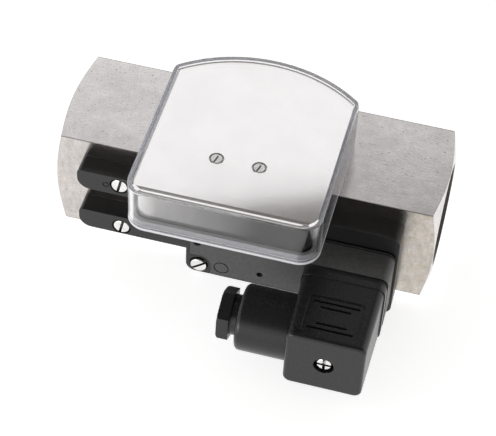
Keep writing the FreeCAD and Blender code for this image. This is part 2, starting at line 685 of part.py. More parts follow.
# Switch housing, its lid and screws
def make_arm(z0, z1):
    arm = block(ARM_END, HOUSING_LEFT + 2 * HOUSING_CORNER, HOUSING_FRONT, FRONT_FACE, z0, z1)
    ends = [edge for edge in edges_along(arm, Y_AXIS) if abs(edge.Vertexes[0].Point.x - ARM_END) < 1e-4]
    upper = [edge for edge in ends if edge.Vertexes[0].Point.z > (z0 + z1) / 2]
    arm = arm.makeFillet(ARM_TOP_CORNER, upper)
    ends = [edge for edge in edges_along(arm, Y_AXIS) if abs(edge.Vertexes[0].Point.x - ARM_END) < 1e-4]
    lower = [edge for edge in ends if edge.Vertexes[0].Point.z < (z0 + z1) / 2]
    return arm.makeFillet(ARM_BOTTOM_CORNER, lower)


def channel_y():
    return HOUSING_FRONT + HOUSING_DEPTH / 2


def cover_blank(gap, y0, y1):
    """Outline of the lid, less the boss round the corner screw, smaller all round by a gap."""
    blank = block(COVER_LEFT + gap, COVER_RIGHT - gap, y0, y1, HOUSING_BOTTOM, COVER_TOP - gap)
    uppers = [edge for edge in edges_along(blank, Y_AXIS) if edge.Vertexes[0].Point.z > PIPE_Z]
    blank = blank.makeFillet(COVER_CORNER, uppers)
    boss = block(HOUSING_LEFT, BOSS_RIGHT + gap, y0, y1, HOUSING_BOTTOM, BOSS_TOP + gap)
    inner = [edge for edge in edges_along(boss, Y_AXIS)
             if edge.BoundBox.XMin > HOUSING_LEFT and edge.BoundBox.ZMin > HOUSING_BOTTOM]
    return blank.cut(boss.makeFillet(BOSS_CORNER, inner))


def ring_mark(radius, x, z):
    """Shallow ring in the housing's front, as an ejector pin leaves it."""
    end = HOUSING_FRONT + MARK_DEPTH
    ring = rod_y(radius, HOUSING_FRONT, end, x, z)
    return ring.cut(rod_y(radius - MARK_WIDTH, HOUSING_FRONT, end, x, z))


def make_switch_housing():
    """Block on the body's front, with two arms, a cavity behind the lid and a way for the wires."""
    lid_back = HOUSING_FRONT + COVER_THICKNESS
    housing = rounded_y(HOUSING_LEFT, HOUSING_RIGHT, HOUSING_BOTTOM, HOUSING_TOP,
                        HOUSING_FRONT, FRONT_FACE, HOUSING_CORNER)
    housing = housing.fuse(make_arm(UPPER_ARM_BOTTOM, HOUSING_TOP))
    housing = housing.fuse(make_arm(LOWER_ARM_TOP - ARM_HEIGHT, LOWER_ARM_TOP))
    housing = housing.cut(cover_blank(0, HOUSING_FRONT, lid_back))
    housing = housing.cut(rounded_y(
        COVER_LEFT + CAVITY_MARGIN, COVER_RIGHT - CAVITY_MARGIN, CAVITY_BOTTOM,
        COVER_TOP - CAVITY_MARGIN, lid_back, CAVITY_BACK, COVER_CORNER))
    housing = housing.cut(rod_x(CHANNEL_RADIUS, COVER_RIGHT - CAVITY_MARGIN, CONNECTOR_X,
                                channel_y(), CONNECTOR_Z))
    housing = housing.cut(connector_rod(SPIGOT_RADIUS, HOUSING_FRONT, HOUSING_FRONT + SPIGOT_LENGTH))
    wire_room = channel_y() + CHANNEL_RADIUS + WIRE_RADIUS
    housing = housing.cut(connector_rod(SPIGOT_RADIUS - SPIGOT_WALL, HOUSING_FRONT, wire_room))
    for x, z in ARM_SCREWS:
        housing = housing.cut(rod_y(COUNTERBORE_RADIUS, HOUSING_FRONT, HOUSING_FRONT + ARM_COUNTERBORE, x, z))
        housing = housing.cut(rod_y(SCREW_RADIUS + SLIP, HOUSING_FRONT, FRONT_FACE, x, z))
    corner = (CORNER_SCREW_X, CORNER_SCREW_Z)
    corner_seat = HOUSING_FRONT + CORNER_COUNTERBORE
    hole_end = corner_seat + CORNER_SCREW_LENGTH + MOVING
    housing = housing.cut(rod_y(COUNTERBORE_RADIUS, HOUSING_FRONT, corner_seat, *corner))
    housing = housing.cut(rod_y(SCREW_RADIUS + THREAD_GAP, corner_seat, hole_end, *corner))
    housing = housing.cut(ring_mark(ARM_MARK_RADIUS, ARM_MARK_X, HOUSING_TOP - ARM_MARK_DROP))
    drain_end = HOUSING_FRONT + DRAIN_HOLE_DEPTH
    housing = housing.cut(rod_y(DRAIN_HOLE_RADIUS, HOUSING_FRONT, drain_end, DRAIN_HOLE_X, DRAIN_HOLE_Z))
    return single(housing)


def make_housing_cover():
    """Lid of the cavity, with two holes and a shallow ring mark."""
    back = HOUSING_FRONT + COVER_THICKNESS
    lid = cover_blank(SLIP, HOUSING_FRONT, back)
    lid = lid.cut(rod_y(COVER_HOLE_RADIUS, HOUSING_FRONT, back, COVER_HOLE_X, COVER_HOLE_Z))
    lid = lid.cut(rod_y(DRAIN_HOLE_RADIUS, HOUSING_FRONT, back, DRAIN_HOLE_X, DRAIN_HOLE_Z))
    return single(lid.cut(ring_mark(MARK_RADIUS, MARK_X, MARK_Z)))


def make_cheese_head(x, z, seat, tip, slot_angle):
    """Cheese-head screw from its seat to its tip, with its slot turned by an angle, seen from the front."""
    front = seat - SCREW_HEAD_HEIGHT
    head = rod_y(SCREW_HEAD_RADIUS, front, seat, x, z)
    head = head.makeFillet(SCREW_HEAD_EDGE, edges_in_plane(head, Y_AXIS, front))
    screw = head.fuse(rod_y(SCREW_RADIUS, seat, tip, x, z))
    slot = block(x - SCREW_HEAD_RADIUS, x + SCREW_HEAD_RADIUS, front, front + SCREW_SLOT_DEPTH,
                 z - SCREW_SLOT_WIDTH / 2, z + SCREW_SLOT_WIDTH / 2)
    slot.rotate(vec(x, front, z), Y_AXIS, -slot_angle)
    return single(screw.cut(slot))


def make_arm_screw(x, z):
    return make_cheese_head(x, z, HOUSING_FRONT + ARM_COUNTERBORE, FRONT_FACE + SCREW_BITE, ARM_SLOT_ANGLE)


def make_corner_screw():
    seat = HOUSING_FRONT + CORNER_COUNTERBORE
    tip = seat + CORNER_SCREW_LENGTH
    return make_cheese_head(CORNER_SCREW_X, CORNER_SCREW_Z, seat, tip, CORNER_SLOT_ANGLE)


def board_place():
    """Left edge and lower edge of the board, in the middle of the cavity."""
    middle_x = (COVER_LEFT + COVER_RIGHT) / 2
    middle_z = (CAVITY_BOTTOM + COVER_TOP - CAVITY_MARGIN) / 2
    return middle_x - BOARD_WIDTH / 2, middle_z - BOARD_HEIGHT / 2


def make_reed_board():
    left, bottom = board_place()
    return rounded_y(left, left + BOARD_WIDTH, bottom, bottom + BOARD_HEIGHT,
                     CAVITY_BACK - BOARD_THICKNESS, CAVITY_BACK, BOARD_CORNER)


def make_reed_switch():
    left, bottom = board_place()
    y = CAVITY_BACK - BOARD_THICKNESS - REED_RADIUS
    z = bottom + BOARD_HEIGHT / 2
    start = left + (BOARD_WIDTH - REED_LENGTH) / 2
    glass = rod_x(REED_RADIUS, start, start + REED_LENGTH, y, z)
    glass = glass.makeFillet(REED_ROUND, glass.Edges[:1] + glass.Edges[2:3])
    leads = rod_x(LEAD_RADIUS, start - LEAD_LENGTH, start + REED_LENGTH + LEAD_LENGTH, y, z)
    return single(glass.fuse(leads))


def make_switch_wire(side):
    """Wire from the board along the housing's channel to the back of the socket."""
    left, bottom = board_place()
    z = CONNECTOR_Z + side * WIRE_SPACING / 2
    start = vec(left + BOARD_WIDTH - 2 * WIRE_BEND, CAVITY_BACK - BOARD_THICKNESS, z)
    turn_in = vec(start.x, channel_y(), z)
    turn_out = vec(CONNECTOR_X + side * WIRE_SPACING, channel_y(), z)
    end = vec(turn_out.x, HOUSING_FRONT + SPIGOT_LENGTH, z)
    corner_in = Part.Arc(turn_in + vec(0, WIRE_BEND, 0),
                         turn_in + vec(WIRE_BEND, WIRE_BEND, 0) * (1 - math.sqrt(0.5)),
                         turn_in + vec(WIRE_BEND, 0, 0))
    corner_out = Part.Arc(turn_out - vec(WIRE_BEND, 0, 0),
                          turn_out - vec(WIRE_BEND, WIRE_BEND, 0) * (1 - math.sqrt(0.5)),
                          turn_out - vec(0, WIRE_BEND, 0))
    path = Part.Wire([
        Part.makeLine(start, turn_in + vec(0, WIRE_BEND, 0)),
        corner_in.toShape(),
        Part.makeLine(turn_in + vec(WIRE_BEND, 0, 0), turn_out - vec(WIRE_BEND, 0, 0)),
        corner_out.toShape(),
        Part.makeLine(turn_out - vec(0, WIRE_BEND, 0), end),
    ])
    section = Part.Wire(Part.makeCircle(WIRE_RADIUS, start, Y_AXIS))
    return path.makePipeShell([section], True, False)


# Connector: socket, pins, gasket and plug
def pin_places():
    quarters = [math.radians(90 * quarter) for quarter in range(4)]
    return [(PIN_CIRCLE * math.cos(turn), PIN_CIRCLE * math.sin(turn), abs(math.sin(turn)) < 0.5)
            for turn in quarters]


def make_pin(place, y0, y1, gap):
    """Flat blade across its radius, larger all round by a gap."""
    x, z, upright = place
    half_x = (PIN_THICKNESS if upright else PIN_WIDTH) / 2 + gap
    half_z = (PIN_WIDTH if upright else PIN_THICKNESS) / 2 + gap
    return block(CONNECTOR_X + x - half_x, CONNECTOR_X + x + half_x, y0, y1,
                 CONNECTOR_Z + z - half_z, CONNECTOR_Z + z + half_z)


def make_connector_socket():
    socket = square_y(SOCKET_WIDTH, SOCKET_HEIGHT, SOCKET_FRONT, HOUSING_FRONT, SOCKET_CORNER)
    for groove_end in (HOUSING_FRONT, HOUSING_FRONT - SOCKET_LIP):
        groove_start = groove_end - SOCKET_GROOVE
        groove = square_y(SOCKET_WIDTH, SOCKET_HEIGHT, groove_start, groove_end, SOCKET_CORNER)
        socket = socket.cut(groove.cut(square_y(
            SOCKET_WIDTH - 2 * SOCKET_GROOVE, SOCKET_HEIGHT - 2 * SOCKET_GROOVE, groove_start, groove_end,
            SOCKET_CORNER - SOCKET_GROOVE)))
    spigot_end = HOUSING_FRONT + SPIGOT_LENGTH
    socket = socket.fuse(connector_rod(SPIGOT_RADIUS - SLIP, HOUSING_FRONT, spigot_end))
    hole_end = SOCKET_FRONT + PLUG_SCREW_BITE + MOVING
    socket = socket.cut(connector_rod(PLUG_SCREW_RADIUS + THREAD_GAP, SOCKET_FRONT, hole_end))
    for place in pin_places():
        socket = socket.cut(make_pin(place, SOCKET_FRONT, SOCKET_FRONT + PIN_REACH, 0))
    return single(socket)


def make_connector_gasket():
    width = SOCKET_WIDTH - 2 * GASKET_INSET
    height = SOCKET_HEIGHT - 2 * GASKET_INSET
    gasket = square_y(width, height, GASKET_FRONT, SOCKET_FRONT, SOCKET_CORNER - GASKET_INSET)
    opening = square_y(GASKET_OPENING, GASKET_OPENING, GASKET_FRONT, SOCKET_FRONT, INSERT_CORNER)
    return single(gasket.cut(opening))


def plug_section(width, height, y):
    """Rounded rectangle round the connector's axis, as a closed wire."""
    slab = square_y(width, height, y, y + FLANGE_LENGTH, PLUG_CORNER)
    return Part.Wire(Part.__sortEdges__(edges_in_plane(slab, Y_AXIS, y)))


def insert_front():
    return PLUG_FRONT + PLUG_ROOF


def make_plug_housing():
    flange = square_y(SOCKET_WIDTH - SLIP, SOCKET_HEIGHT - SLIP, FLANGE_FRONT, GASKET_FRONT, SOCKET_CORNER)
    cover = Part.makeLoft([
        plug_section(PLUG_FRONT_WIDTH, PLUG_FRONT_HEIGHT, PLUG_FRONT),
        plug_section(PLUG_BACK_WIDTH, PLUG_BACK_HEIGHT, FLANGE_FRONT),
    ], True)
    cover = cover.makeFillet(PLUG_EDGE, edges_in_plane(cover, Y_AXIS, PLUG_FRONT))
    barrel = rod_x(GLAND_RADIUS, GLAND_END, CONNECTOR_X, GLAND_Y, CONNECTOR_Z)
    barrel = barrel.makeFillet(GLAND_ROUND, edges_in_plane(barrel, X_AXIS, GLAND_END))
    plug = flange.fuse(cover).fuse(barrel)
    room = INSERT_SIZE + 2 * SLIP
    plug = plug.cut(square_y(room, room, insert_front(), GASKET_FRONT, INSERT_CORNER))
    plug = plug.cut(rod_x(GLAND_BORE, GLAND_END, GLAND_END + GLAND_BORE_DEPTH, GLAND_Y, CONNECTOR_Z))
    plug = plug.cut(rod_x(GLAND_THROAT, GLAND_END, CONNECTOR_X - INSERT_SIZE / 2, GLAND_Y, CONNECTOR_Z))
    plug = plug.cut(make_plug_panel())
    recess_end = PLUG_FRONT + PLUG_RECESS_DEPTH
    plug = plug.cut(connector_rod(PLUG_SCREW_RECESS, PLUG_FRONT, recess_end))
    plug = plug.cut(connector_rod(PLUG_SCREW_RADIUS + SLIP, recess_end, insert_front()))
    return single(plug)


def make_plug_panel():
    """Shallow recess on top of the plug, with two grooves towards each end and the middle left bare."""
    floor = CONNECTOR_Z + PLUG_FRONT_HEIGHT / 2 - PANEL_DEPTH
    front = PLUG_FRONT + PANEL_SETBACK
    panel = block(CONNECTOR_X - PANEL_WIDTH / 2, CONNECTOR_X + PANEL_WIDTH / 2, front, front + PANEL_LENGTH,
                  floor, CONNECTOR_Z + PLUG_BACK_HEIGHT)
    panel = panel.makeFillet(PANEL_CORNER, edges_along(panel, Z_AXIS))
    middle = front + PANEL_LENGTH / 2
    for place, length in ((LONG_GROOVE_PLACE, LONG_GROOVE), (SHORT_GROOVE_PLACE, SHORT_GROOVE)):
        for y in (middle - place, middle + place):
            groove = block(CONNECTOR_X - length / 2, CONNECTOR_X + length / 2,
                           y - GROOVE_WIDTH / 2, y + GROOVE_WIDTH / 2, floor - GROOVE_DEPTH, floor)
            panel = panel.fuse(groove)
    return panel


def make_plug_insert():
    insert = square_y(INSERT_SIZE, INSERT_SIZE, insert_front(), SOCKET_FRONT - MOVING, INSERT_CORNER)
    insert = insert.cut(connector_rod(PLUG_SCREW_RADIUS + SLIP, insert_front(), SOCKET_FRONT))
    for place in pin_places():
        insert = insert.cut(make_pin(place, SOCKET_FRONT - PIN_REACH - MOVING, SOCKET_FRONT, MOVING))
    return single(insert)


def make_plug_screw():
    """Long screw with a cross slot, through the plug into the socket."""
    seat = PLUG_FRONT + PLUG_RECESS_DEPTH
    front = seat - PLUG_SCREW_HEAD_HEIGHT
    head = connector_rod(PLUG_SCREW_HEAD, front, seat)
    head = head.makeFillet(PLUG_HEAD_EDGE, edges_in_plane(head, Y_AXIS, front))
    screw = head.fuse(connector_rod(PLUG_SCREW_RADIUS, seat, SOCKET_FRONT + PLUG_SCREW_BITE))
    half_slot = SCREW_SLOT_WIDTH / 2
    for half_x, half_z in ((PLUG_SCREW_HEAD, half_slot), (half_slot, PLUG_SCREW_HEAD)):
        screw = screw.cut(block(CONNECTOR_X - half_x, CONNECTOR_X + half_x, front, front + SCREW_SLOT_DEPTH,
                                CONNECTOR_Z - half_z, CONNECTOR_Z + half_z))
    return single(screw)


# Cable gland
def make_gland_nut():
    """Six-sided nut with its outer corners turned off, and a neck that screws into the plug."""
    nut_end = NUT_LEFT + GLAND_NUT_LENGTH
    grip = hexagon_x(GLAND_NUT_RADIUS, NUT_LEFT, nut_end, GLAND_NUT_TURN, GLAND_Y, CONNECTOR_Z)
    grip = grip.common(turned_x([
        (NUT_LEFT, 0), (NUT_LEFT, GLAND_NUT_RADIUS - NUT_EDGE), (NUT_LEFT + NUT_EDGE, GLAND_NUT_RADIUS),
        (nut_end, GLAND_NUT_RADIUS), (nut_end, 0),
    ], GLAND_Y, CONNECTOR_Z))
    nut = grip.fuse(rod_x(NECK_RADIUS, nut_end, nut_end + NECK_LENGTH, GLAND_Y, CONNECTOR_Z))
    return single(nut.cut(rod_x(CABLE_RADIUS, NUT_LEFT, nut_end + NECK_LENGTH, GLAND_Y, CONNECTOR_Z)))


def make_gland_washer():
    start = NUT_LEFT + GLAND_NUT_LENGTH + NECK_LENGTH
    return tube_x(GLAND_BORE - SLIP, CABLE_RADIUS, start, start + WASHER_THICKNESS, GLAND_Y, CONNECTOR_Z)


def make_gland_seal():
    start = NUT_LEFT + GLAND_NUT_LENGTH + NECK_LENGTH + WASHER_THICKNESS
    end = GLAND_END + GLAND_BORE_DEPTH
    return tube_x(GLAND_BORE - SLIP, CABLE_RADIUS, start, end, GLAND_Y, CONNECTOR_Z)


save("flow_body", make_flow_body())
save("measuring_cone", make_measuring_cone())
save("inlet_guide", make_guide(INLET_RIM, INLET_HUB))
save("outlet_guide", make_guide(OUTLET_RIM, OUTLET_HUB))
save("guide_rod", rod_x(ROD_RADIUS, INLET_RIM, OUTLET_RIM))
save("retaining_rings", Part.makeCompound([
    make_retaining_ring(INLET_RIM - RING_THICKNESS), make_retaining_ring(OUTLET_RIM)]))
save("piston", make_piston())
save("piston_magnet", make_piston_magnet())
save("magnet_nut", make_magnet_nut())
save("return_spring", make_return_spring())
save("dial_base", make_dial_base())
save("base_screws", Part.makeCompound([make_base_screw(-BASE_SCREW_X), make_base_screw(BASE_SCREW_X)]))
save("dial_pillars", Part.makeCompound([make_pillar(x, y) for x, y in pillar_places()]))
save("bearing_bridge", make_bearing_bridge())
save("dial_plate", make_dial_plate())
save("dial_screws", Part.makeCompound([make_dial_screw(x, y) for x, y in pillar_places()]))
save("hood", make_hood())
save("follower_shaft", make_follower_shaft())
save("follower_arm", make_follower_arm())
save("follower_magnet", make_follower_magnet())
save("follower_weight", make_follower_weight())
save("switch_housing", make_switch_housing())
save("housing_cover", make_housing_cover())
save("arm_screws", Part.makeCompound([make_arm_screw(x, z) for x, z in ARM_SCREWS]))
save("corner_screw", make_corner_screw())
save("reed_board", make_reed_board())
save("reed_switch", make_reed_switch())
save("switch_wires", Part.makeCompound([make_switch_wire(-1), make_switch_wire(1)]))
save("connector_socket", make_connector_socket())
save("contact_pins", Part.makeCompound([
    make_pin(place, SOCKET_FRONT - PIN_REACH, SOCKET_FRONT + PIN_REACH, 0) for place in pin_places()]))
save("connector_gasket", make_connector_gasket())
save("plug_housing", make_plug_housing())
save("plug_insert", make_plug_insert())
save("plug_screw", make_plug_screw())
save("gland_nut", make_gland_nut())
save("gland_washer", make_gland_washer())
save("gland_seal", make_gland_seal())
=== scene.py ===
import bpy
import bmesh
import json
import math
from mathutils import Matrix, Vector


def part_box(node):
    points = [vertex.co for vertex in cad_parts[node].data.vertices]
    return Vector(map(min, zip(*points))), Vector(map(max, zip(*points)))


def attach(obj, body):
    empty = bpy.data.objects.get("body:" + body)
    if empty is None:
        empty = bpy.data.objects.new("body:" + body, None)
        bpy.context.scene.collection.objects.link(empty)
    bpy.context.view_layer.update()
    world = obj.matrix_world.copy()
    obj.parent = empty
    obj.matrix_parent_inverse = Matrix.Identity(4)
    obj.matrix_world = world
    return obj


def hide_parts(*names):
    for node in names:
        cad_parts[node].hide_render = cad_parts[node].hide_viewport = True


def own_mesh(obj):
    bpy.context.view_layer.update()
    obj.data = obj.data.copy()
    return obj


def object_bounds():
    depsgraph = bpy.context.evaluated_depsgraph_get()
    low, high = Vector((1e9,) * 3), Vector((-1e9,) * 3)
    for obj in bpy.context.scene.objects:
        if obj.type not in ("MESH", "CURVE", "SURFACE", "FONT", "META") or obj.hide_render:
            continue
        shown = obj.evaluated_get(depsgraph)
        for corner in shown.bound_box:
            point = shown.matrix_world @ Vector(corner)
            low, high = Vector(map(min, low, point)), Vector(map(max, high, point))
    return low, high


# Variable area flow meter: finishes, threads, spring, light and camera, in metres.
# X runs along the pipe, -Y is the front with the connector, +Z is up.

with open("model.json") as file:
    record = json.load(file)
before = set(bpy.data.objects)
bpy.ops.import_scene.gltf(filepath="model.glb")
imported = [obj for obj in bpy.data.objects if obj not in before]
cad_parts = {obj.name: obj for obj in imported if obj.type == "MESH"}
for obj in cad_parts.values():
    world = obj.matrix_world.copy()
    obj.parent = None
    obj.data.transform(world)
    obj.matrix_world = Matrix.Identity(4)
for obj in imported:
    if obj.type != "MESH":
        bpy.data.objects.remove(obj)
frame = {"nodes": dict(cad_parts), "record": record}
cad_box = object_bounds()
scene = bpy.context.scene

MM = 0.001
FULL_TURN = 2 * math.pi

# Places on the solids
BODY_LOW, BODY_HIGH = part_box("flow_body")
BAR_HALF = BODY_HIGH.y
PIPE_Z = (BODY_LOW.z + BODY_HIGH.z) / 2
PLATE_LOW, PLATE_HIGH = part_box("dial_plate")
FLOOR_Z = cad_box[0][2]

# Height of the dial plate's fold, and where the painted shade on the base's rim fades out and that on the
# hood's walls sets in, behind its front
PLATE_BEND = 1.5 * MM
FRONT_FADE_START = PLATE_LOW.y + 4 * MM
FRONT_FADE_END = PLATE_LOW.y + 12 * MM

# Thread in the ports: steps per turn, half widths of crest and root in pitches, end fade in turns
THREAD_PITCH = 2.309 * MM
THREAD_OUTER = 16.62 * MM
THREAD_INNER = 15.15 * MM
THREAD_START = 1.2 * MM
THREAD_LENGTH = 15.2 * MM
THREAD_SINK = 0.02 * MM
THREAD_STEPS = 72
THREAD_CREST = 0.16
THREAD_ROOT = 0.47
THREAD_FADE = 0.5
THREAD_LEAST_HEIGHT = 0.02

# Spring behind the piston: steps per turn and sides of its round wire
SPRING_TURNS = 9.0
SPRING_CLOSED_TURNS = 1.5
SPRING_WIRE_RADIUS = 0.45 * MM
SPRING_CLOSED_PITCH = 2.05 * SPRING_WIRE_RADIUS
SPRING_STEPS = 32
SPRING_SIDES = 10

# Range that most of a noise texture lies in
NOISE_LOW = 0.3
NOISE_HIGH = 0.7

# Rounded edges, and the painted shade in crevices
EDGE_SAMPLES = 6
CREVICE_SAMPLES = 8
CREVICE_CLOSED = 0.55
CREVICE_OPEN = 0.95

# Plating of the screws: painted shade in their slots, and their open faces
SCREW_DARK = (0.02, 0.02, 0.02)
SCREW_LIGHT = (0.96, 0.95, 0.93)

# Sky: pale all round and dim about an axis overhead, with the dim part's edge in cosines from it
SKY_BRIGHT = (1.0, 1.0, 1.0)
SKY_DIM = (0.16, 0.148, 0.14)
SKY_DIM_AXIS = Vector((0.171, -0.149, 0.974)).normalized()
SKY_DIM_FROM = 0.597
SKY_DIM_TO = 0.605

# Floor, with the glow that lifts it to white
FLOOR_SIZE = 8.0
FLOOR_DARK = (0.75, 0.75, 0.75)
FLOOR_LIGHT = (0.76, 0.76, 0.76)
FLOOR_CLOUD = 300 * MM
FLOOR_ROUGHNESS = 0.9
FLOOR_GLOW = 0.74

# Lamp low at the front, for the highlight on the dial plate's fold
LAMP_PLACE = Vector((-0.75, -1.2, 0.15))
LAMP_WIDTH = 0.86
LAMP_HEIGHT = 0.3
LAMP_WATTS = 5.5

# Bounces of light inside the hood's walls and between the metals
HOOD_BOUNCES = 48
METAL_BOUNCES = 24

# Camera, as fitted to the photograph
IMAGE_WIDTH = 496
FOCAL_PIXELS = 1760.0
SENSOR_WIDTH = 36.0
CAMERA_AZIMUTH = math.radians(12.28)
CAMERA_ELEVATION = math.radians(48.37)
CAMERA_ROLL = math.radians(-3.16)
CAMERA_DISTANCE = 588.82 * MM
CAMERA_TARGET = Vector((2.079 * MM, -20.176 * MM, PIPE_Z))
CAMERA_NEAREST = 10 * MM


class Shade:
    """One node material round a Principled shader, in the object's own coordinates."""

    def __init__(self, name, metallic=0.0):
        self.material = bpy.data.materials.new(name)
        self.material.use_nodes = True
        self.nodes = self.material.node_tree.nodes
        self.links = self.material.node_tree.links
        self.shader = self.nodes["Principled BSDF"]
        self.place = self.nodes.new("ShaderNodeTexCoord").outputs["Object"]
        self.normal = None
        self.give("Metallic", metallic)

    def plug(self, value, socket):
        """Links a socket to another one, or sets it to a plain value."""
        if isinstance(value, bpy.types.NodeSocket):
            self.links.new(value, socket)
        else:
            socket.default_value = value

    def give(self, name, value):
        """Links or sets an input of the shader."""
        self.plug(value, self.shader.inputs[name])

    def math(self, operation, *values):
        """Math on one or two values, or on more from left to right, of sockets or plain numbers."""
        if len(values) > 2:
            return self.math(operation, self.math(operation, *values[:-1]), values[-1])
        node = self.nodes.new("ShaderNodeMath")
        node.operation = operation
        for socket, value in zip(node.inputs, values):
            self.plug(value, socket)
        return node.outputs[0]

    def along(self, axis):
        """Place along an axis."""
        split = self.nodes.new("ShaderNodeSeparateXYZ")
        self.plug(self.place, split.inputs[0])
        return split.outputs[axis]

    def away(self, axis, centre=0.0):
        """Distance from a centre along an axis, to either side."""
        return self.math("ABSOLUTE", self.math("SUBTRACT", self.along(axis), centre))

    def diagonal(self, first, second):
        """Distance that two distances at right angles make."""
        squares = [self.math("MULTIPLY", value, value) for value in (first, second)]
        return self.math("SQRT", self.math("ADD", *squares))

    def noise(self, size, detail=2.0, stretch=(1, 1, 1)):
        """Noise with features of a size in metres, drawn out along an axis by a stretch."""
        mapping = self.nodes.new("ShaderNodeMapping")
        texture = self.nodes.new("ShaderNodeTexNoise")
        self.plug(self.place, mapping.inputs["Vector"])
        self.plug([1 / (size * factor) for factor in stretch], mapping.inputs["Scale"])
        self.plug(mapping.outputs["Vector"], texture.inputs["Vector"])
        self.plug(1.0, texture.inputs["Scale"])
        self.plug(detail, texture.inputs["Detail"])
        return texture.outputs["Fac"]

    def spread(self, value, first, last, start=NOISE_LOW, end=NOISE_HIGH):
        """First where a value is at its start, last where it is at its end, and even between them."""
        node = self.nodes.new("ShaderNodeMapRange")
        self.plug(value, node.inputs["Value"])
        self.plug(start, node.inputs["From Min"])
        self.plug(end, node.inputs["From Max"])
        self.plug(first, node.inputs["To Min"])
        self.plug(last, node.inputs["To Max"])
        return node.outputs["Result"]

    def crevice(self, depth, local=True):
        """Painted shade from ambient occlusion: 0 in slots and grooves of a depth and 1 on open faces,
        for the piece alone or among others.
        """
        node = self.nodes.new("ShaderNodeAmbientOcclusion")
        node.only_local = local
        node.samples = CREVICE_SAMPLES
        self.plug(depth, node.inputs["Distance"])
        return self.spread(node.outputs["AO"], 0, 1, start=CREVICE_CLOSED, end=CREVICE_OPEN)

    def blend(self, dark, light, value):
        """A node for the colour between two colours by a value."""
        node = self.nodes.new("ShaderNodeMix")
        node.data_type = "RGBA"
        self.plug((*dark, 1), node.inputs["A"])
        self.plug((*light, 1), node.inputs["B"])
        self.plug(value, node.inputs["Factor"])
        return node

    def colour(self, dark, light, value):
        """Base colour between two colours by a value."""
        self.give("Base Color", self.blend(dark, light, value).outputs["Result"])

    def colour_with_painted_tint(self, dark, light, value, stain, share):
        """Base colour between two colours by a value, with a share of a third colour mixed into the light
        one, for painted light.
        """
        cover = self.blend(light, stain, share)
        metal = self.blend(dark, light, value)
        self.plug(cover.outputs["Result"], metal.inputs["B"])
        self.give("Base Color", metal.outputs["Result"])

    def rough(self, value, first, last):
        """Roughness from first to last by a noise."""
        self.give("Roughness", self.spread(value, first, last))

    def soften(self, radius):
        """Rounded look on sharp edges."""
        node = self.nodes.new("ShaderNodeBevel")
        node.samples = EDGE_SAMPLES
        self.plug(radius, node.inputs["Radius"])
        self.normal = node.outputs["Normal"]
        self.give("Normal", self.normal)

    def bump(self, height, distance, strength):
        """Relief of a distance by a height, on top of any rounded edges and relief so far."""
        node = self.nodes.new("ShaderNodeBump")
        self.plug(height, node.inputs["Height"])
        self.plug(distance, node.inputs["Distance"])
        self.plug(strength, node.inputs["Strength"])
        if self.normal:
            self.plug(self.normal, node.inputs["Normal"])
        self.normal = node.outputs["Normal"]
        self.give("Normal", self.normal)


